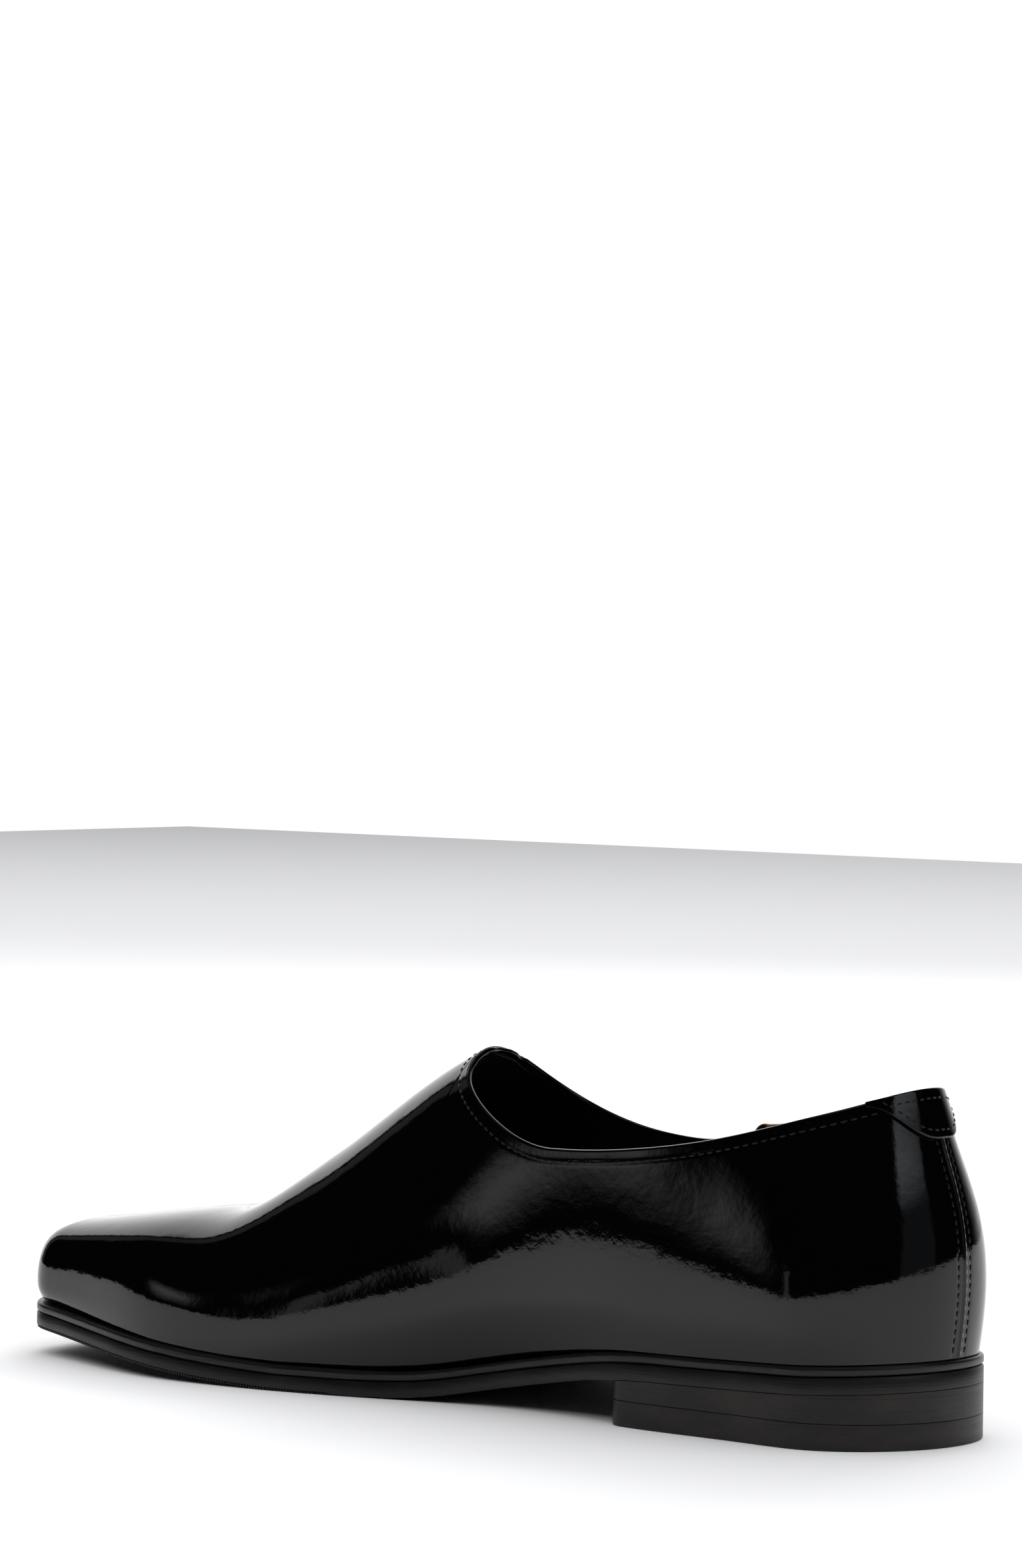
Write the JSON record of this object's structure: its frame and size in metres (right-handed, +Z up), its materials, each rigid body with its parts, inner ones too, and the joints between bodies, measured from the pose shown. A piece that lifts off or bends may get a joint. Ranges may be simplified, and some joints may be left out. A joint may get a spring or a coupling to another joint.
{
  "type": "slip-on dress shoe",
  "caption": "Right dress shoe with a low collar, a square toe, a stacked heel, a small patch over the back seam and a buckled strap over its outer side.",
  "frame": {"origin": "middle of the sole's length on the floor, under the shoe's centre line", "axes": "+X towards the heel, -X towards the toe, -Y towards the inner (medial) side, +Z up"},
  "size_m": [0.3024, 0.1058, 0.0934],
  "materials": {
    "patent_leather": "high gloss patent",
    "sole_edge": "satin black edge dressing",
    "heel_stack": "satin, very dark brown",
    "lining_leather": "matte black lining",
    "copper_plate": "polished copper colour"
  },
  "bodies": {
    "root": {"upper": "patent_leather", "back_strap": "patent_leather", "side_strap": "patent_leather", "buckle_tab": "patent_leather", "buckle_frame": "copper_plate", "buckle_prong": "copper_plate", "welt": "sole_edge", "outsole": "sole_edge", "heel_stack": "heel_stack", "top_lift": "sole_edge", "insole": "lining_leather"}
  },
  "joints": []
}
